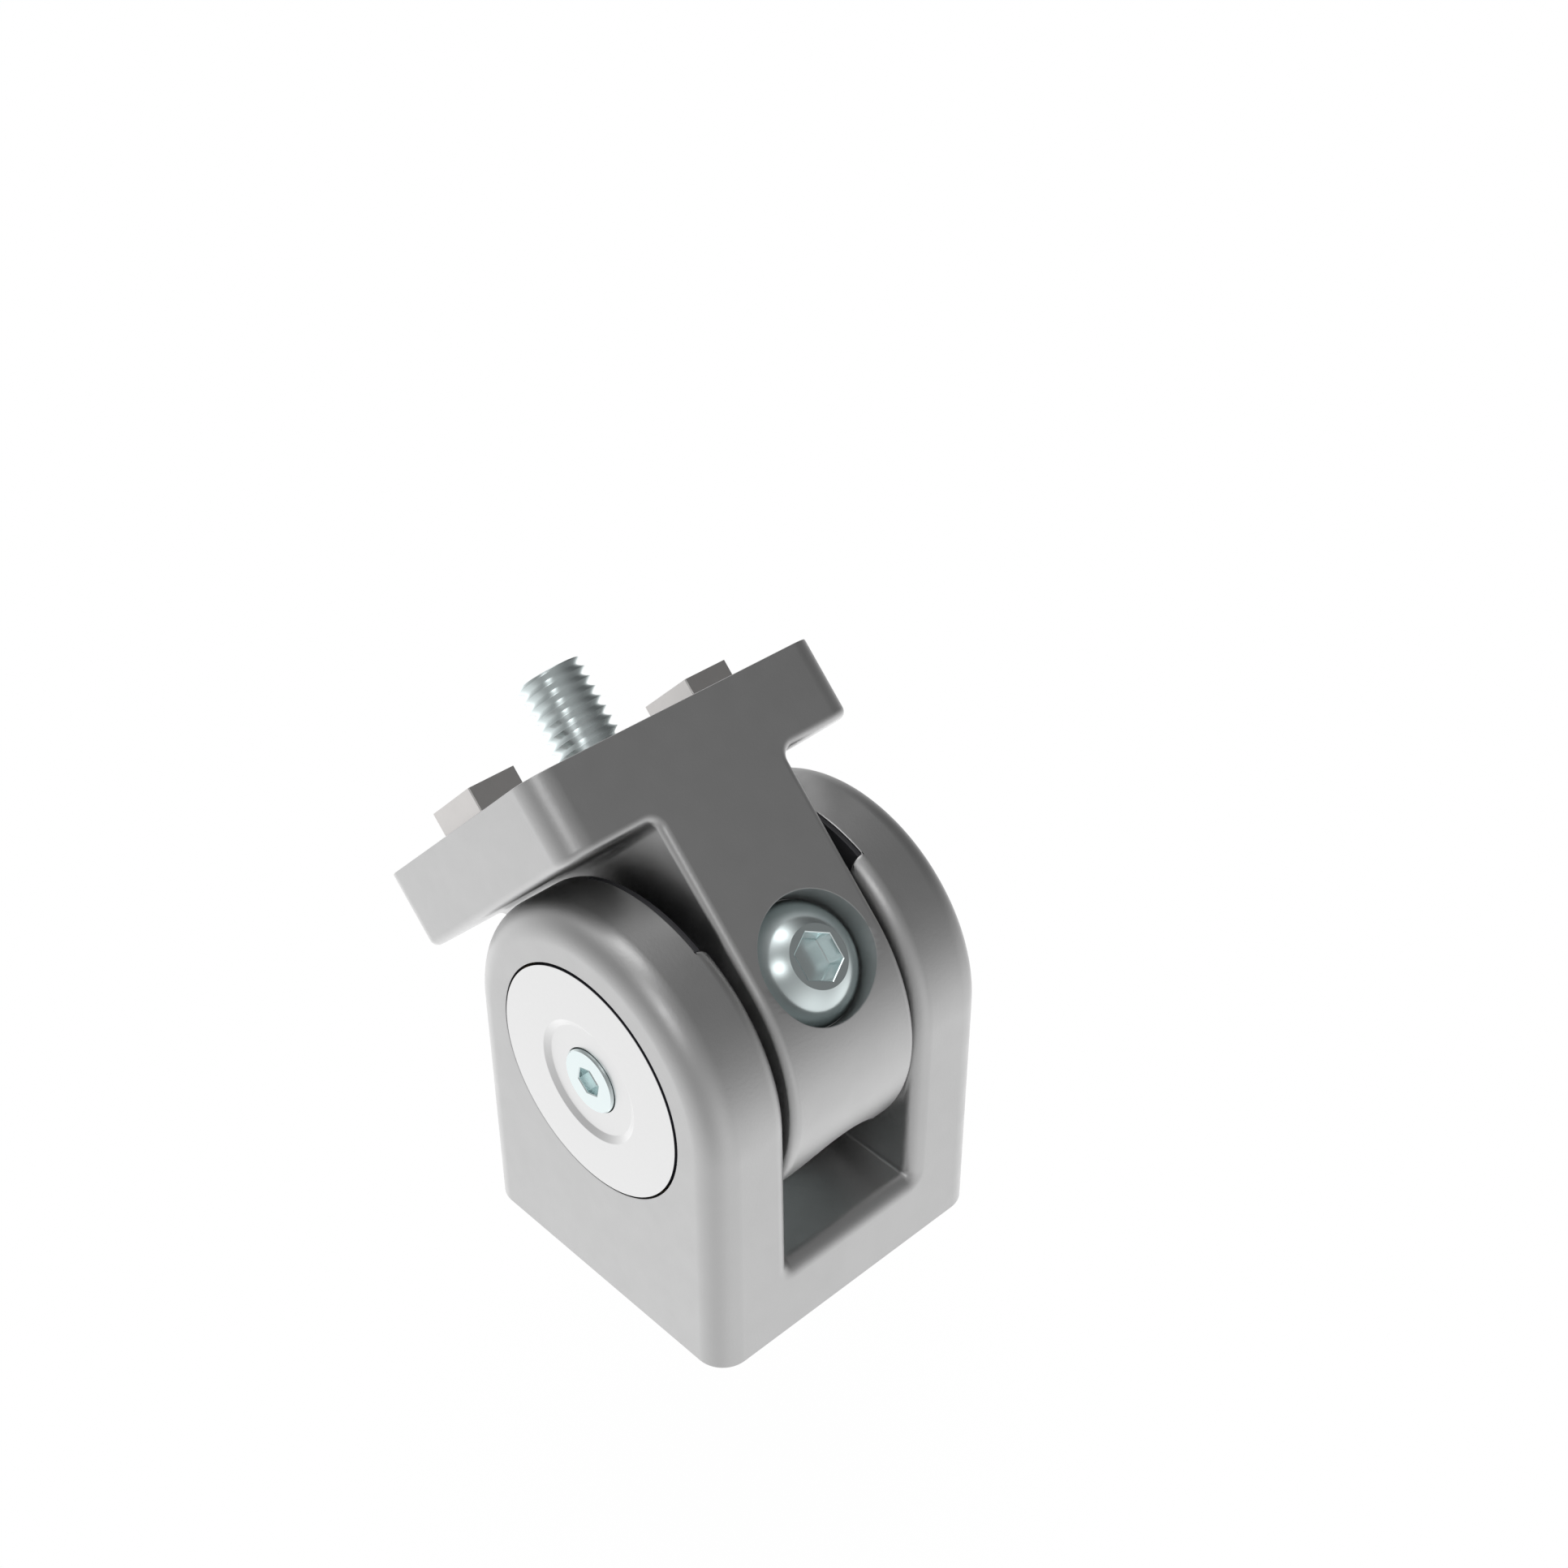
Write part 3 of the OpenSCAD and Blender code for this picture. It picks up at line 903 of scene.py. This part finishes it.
def make_hub(name, place, nodes, paint):
    """Hub with its spigot in the bush, and the disc with a dish for the screw's head."""
    recess_r, recess_x = HUB_SCREW_HEAD_R + HUB_SCREW_PLAY, HUB_SCREW_SEAT - FIT
    axle_r, axle_x = AXLE_R + AXLE_PLAY, HUB_IN + AXLE_SUNK
    profile = soft(
        [
            (axle_r, HUB_IN), (SPIGOT_R, HUB_IN), (SPIGOT_R, HUB_STEP), (HUB_R, HUB_STEP),
            (HUB_R, HUB_FACE), (DISH_R, HUB_FACE), (DISH_FLOOR_R, DISH_X), (recess_r, DISH_X),
            (recess_r, recess_x), (HUB_SCREW_HOLE_R, recess_x), (HUB_SCREW_HOLE_R, axle_x),
            (axle_r, axle_x), (axle_r, HUB_IN),
        ],
        HUB_EDGE,
    )
    made = piece(name, lathe(profile, HUB_ROUND), place)
    return finish_piece(made, "tongue", nodes, paint, sharp=TURNED_SHARP)


def make_ring(name, inner, outer, low, high, place, body, nodes, paint):
    """Flat ring with softened edges."""
    middle = (inner, (low + high) / 2)
    corners = [(inner, low), (outer, low), (outer, high), (inner, high)]
    made = piece(name, lathe(soft([middle, *corners, middle], RING_EDGE)), place)
    return finish_piece(made, body, nodes, paint, sharp=RING_SHARP)


def make_bush(name, side, nodes, paint):
    """Bush in the cheek's bore, with the thin tab that lines the channel up to the cheek's top."""
    ring_r, tab_r, half = HUB_BORE_R - FIT, HALF_W - TAB_DROP, CHANNEL_W / 2 - FIT
    low, high = HUB_IN, BUSH_END - FIT
    tab_in, tab_out = CHANNEL_X - FIT - TAB_T, CHANNEL_X - FIT
    tab_low, tab_top = math.asin(half / ring_r), math.asin(half / tab_r)
    ring_steps, side_steps, top_steps = 72, 6, 24
    angles = sorted(
        set(spread(-math.pi, -tab_low, ring_steps) + spread(tab_low, math.pi, ring_steps)
            + spread(-tab_low, -tab_top, side_steps) + spread(tab_top, tab_low, side_steps)
            + spread(-tab_top, tab_top, top_steps))
    )

    def outline(round_r, with_tab, x):
        row = []
        for a in angles:
            r = round_r
            if with_tab and abs(a) <= tab_low + 1e-9:
                r = tab_r if abs(a) <= tab_top + 1e-9 else half / math.sin(abs(a))
            row.append((side * x, r * math.sin(a), r * math.cos(a)))
        return row

    shell = Shell()
    shell.grid(
        [
            outline(BUSH_BORE_R, False, high), outline(BUSH_BORE_R, False, low),
            outline(ring_r, False, low), outline(ring_r, False, tab_in),
            outline(ring_r, True, tab_in), outline(ring_r, True, tab_out),
            outline(ring_r, False, tab_out), outline(ring_r, False, high),
            outline(BUSH_BORE_R, False, high),
        ]
    )
    made = piece(name, shell, AT_PIVOT)
    return finish_piece(made, "fork", nodes, paint, edge=BUSH_EDGE, sharp=RING_SHARP)


def make_key(name, side, place, body, nodes, paint):
    """Key with chamfered upright corners and softened edges."""
    x, y, c = KEY_L / 2, KEY_W / 2, KEY_C
    right = [(x - c, -y), (x, c - y), (x, y - c), (x - c, y)]
    outline = right + [(-px, py) for px, py in reversed(right)]
    shell = Shell()
    for level in (-KEY_SINK, KEY_H):
        shell.polygon([(px, py, level) for px, py in outline])
    closed = outline + outline[:1]
    shell.grid([[(px, py, z) for px, py in closed] for z in (-KEY_SINK, KEY_H)])
    made = piece(name, shell, place @ Matrix.Translation((side * KEY_X, 0, 0)))
    return finish_piece(made, body, nodes, paint, edge=KEY_EDGE)


casting = casting_paint()
zinc = zinc_paint()
key_metal = key_paint()
bright = hub_paint()
black = plastic_paint()
bronze = ground_paint("bronze", "bronze", (0.55, 0.40, 0.20), (0.62, 0.46, 0.25))
steel = ground_paint("ground steel", "plain_steel", (0.55, 0.56, 0.57), (0.64, 0.65, 0.66))

make_fork(casting)
make_tongue(casting)

large_screw("base_screw_piece", -BASE_OUT - BASE_SEAT, -BASE_SEAT,
            Matrix.Translation((0, 0, BASE_SEAT)), "fork", ["base_screw"], zinc)
large_screw("profile_screw_piece", PROFILE_SEAT - FLANGE_TOP - STAND_OUT, PROFILE_SEAT - FLANGE_TOP,
            ON_TONGUE @ Matrix.Translation((0, 0, PROFILE_SEAT)) @ UPSIDE_DOWN,
            "tongue", ["profile_screw"], zinc, STAND_TURN)
large_screw("lock_screw_piece", *LOCK_THREAD,
            ON_TONGUE @ TO_FRONT @ Matrix.Translation((0, 0, LOCK_SEAT)),
            "tongue", ["lock_screw"], zinc)

for side, label, along in ((-1, "left", ALONG_LEFT), (1, "right", ALONG_X)):
    outward = AT_PIVOT @ along
    turned = AT_PIVOT @ Matrix.Rotation(HUB_SCREW_TURN, 4, "X") @ along
    make_hub(f"hub_{label}_piece", outward, [f"hub_{label}"], bright)
    hub_screw(f"hub_screw_{label}_piece", turned @ Matrix.Translation((0, 0, HUB_SCREW_SEAT)),
              [f"hub_screw_{label}"], zinc)
    make_bush(f"bush_{label}_piece", side, [f"bush_{label}"], black)
    make_ring(f"friction_ring_{label}_piece", RING_BORE_R, HUB_BORE_R - FIT,
              BUSH_END, HUB_STEP - FIT, outward, "fork", [f"friction_ring_{label}"], bronze)
    make_ring(f"thrust_washer_{label}_piece", WASHER_BORE_R, WASHER_R,
              LEG_X + FIT, POCKET_X - FIT, outward, "tongue", [f"thrust_washer_{label}"], steel)
    make_key(f"tongue_key_{label}_piece", side, ON_TONGUE @ Matrix.Translation((0, 0, FLANGE_TOP)),
             "tongue", [f"tongue_key_{label}"], key_metal)
    make_key(f"base_key_{label}_piece", side, UPSIDE_DOWN, "fork", [f"base_key_{label}"], key_metal)

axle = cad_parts["axle"]
axle.data.materials.clear()
axle.data.materials.append(zinc)


# floor, light and camera

def make_floor():
    """Pale floor, well below the joint, that only the camera sees, with a painted shadow from
    ambient occlusion near the joint.
    """
    data = bpy.data.meshes.new("floor")
    r = FLOOR_REACH * MM
    data.from_pydata([(-r, -r, 0), (r, -r, 0), (r, r, 0), (-r, r, 0)], [], [(0, 1, 2, 3)])
    floor = bpy.data.objects.new("floor", data)
    bpy.context.scene.collection.objects.link(floor)
    floor.location.z = -FLOOR_DROP * MM
    material = bpy.data.materials.new("pale floor with painted shadow")
    tree = Tree(material)
    # painted shadow: the floor's white emission is darkened by ambient occlusion near the joint
    near = tree.value(tree.node("AmbientOcclusion", {"samples": 8}, Distance=0.06).outputs["AO"])
    colour = tree.blend(near, (0.96, 0.96, 0.96), (1.0, 1.0, 1.0))
    glow = tree.node("Emission", Color=colour, Strength=1.0)
    tree.node("OutputMaterial", Surface=glow.outputs[0])
    data.materials.append(material)
    floor.visible_glossy = False
    floor.visible_diffuse = False
    floor.visible_shadow = False


def make_world():
    """White room with a darker ceiling, as soft lights in given directions round the object."""
    world = bpy.data.worlds.new("studio")
    bpy.context.scene.world = world
    tree = Tree(world)
    place = tree.node("TexCoord").outputs["Generated"]

    def light(azimuth, height, sharpness, strength):
        """Light by its azimuth from the back to the right and its height, in degrees."""
        turn, rise = math.radians(azimuth), math.radians(height)
        toward = (math.sin(turn) * math.cos(rise), math.cos(turn) * math.cos(rise), math.sin(rise))
        near = tree.node("VectorMath", {"operation": "DOT_PRODUCT"})
        feed(tree.tree, near.inputs[0], place)
        near.inputs[1].default_value = toward
        return ((tree.value(near.outputs["Value"]) - 1.0) * sharpness).exponential() * strength

    floor_below = light(75, -90, 2.4, 0.92)
    floor_behind = light(0, -29, 4.1, 0.85)
    floor_right = light(70, -43, 10.0, 0.75)
    floor_front_right = light(128, -26, 9.8, 0.47)
    floor_front = light(-178, -24, 6.9, 0.23)
    wall_in_front = light(-165, -14, 7.0, 0.25)
    floor_left = light(-77, -16, 6.0, 0.34)
    wall_behind = light(25, -1, 7.9, 0.33)
    ceiling_behind = light(-17, 62, 9.2, 0.8)
    lamp_above = light(-2, 79, 60.0, 1.3)
    room_over_camera = light(-148, 49, 1.6, 0.27)
    lamp_left = light(-118, 42, 58.0, 1.85)
    level = (
        floor_below + floor_behind + floor_right + floor_front_right + floor_front + floor_left
        + wall_in_front + wall_behind + ceiling_behind + lamp_above + room_over_camera + lamp_left
    )
    seen = tree.value(tree.node("LightPath").outputs["Is Camera Ray"])
    level = level + (1.0 - level) * seen
    colour = tree.node("CombineColor", Red=level, Green=level, Blue=level).outputs[0]
    back = tree.node("Background", Color=colour, Strength=1.0)
    tree.node("OutputWorld", Surface=back.outputs[0])


def make_camera():
    data = bpy.data.cameras.new("camera")
    data.sensor_width = SENSOR_W
    data.lens = FOCAL_PX / PHOTO_PX * SENSOR_W
    data.clip_start = 0.01
    camera = bpy.data.objects.new("camera", data)
    bpy.context.scene.collection.objects.link(camera)
    camera.location = Vector(CAMERA_AT) * MM
    camera.rotation_euler = (math.radians(90 - CAMERA_DOWN), 0, math.radians(CAMERA_TURN))
    bpy.context.scene.camera = camera


make_floor()
make_world()
make_camera()
bpy.context.scene.view_settings.view_transform = "Standard"
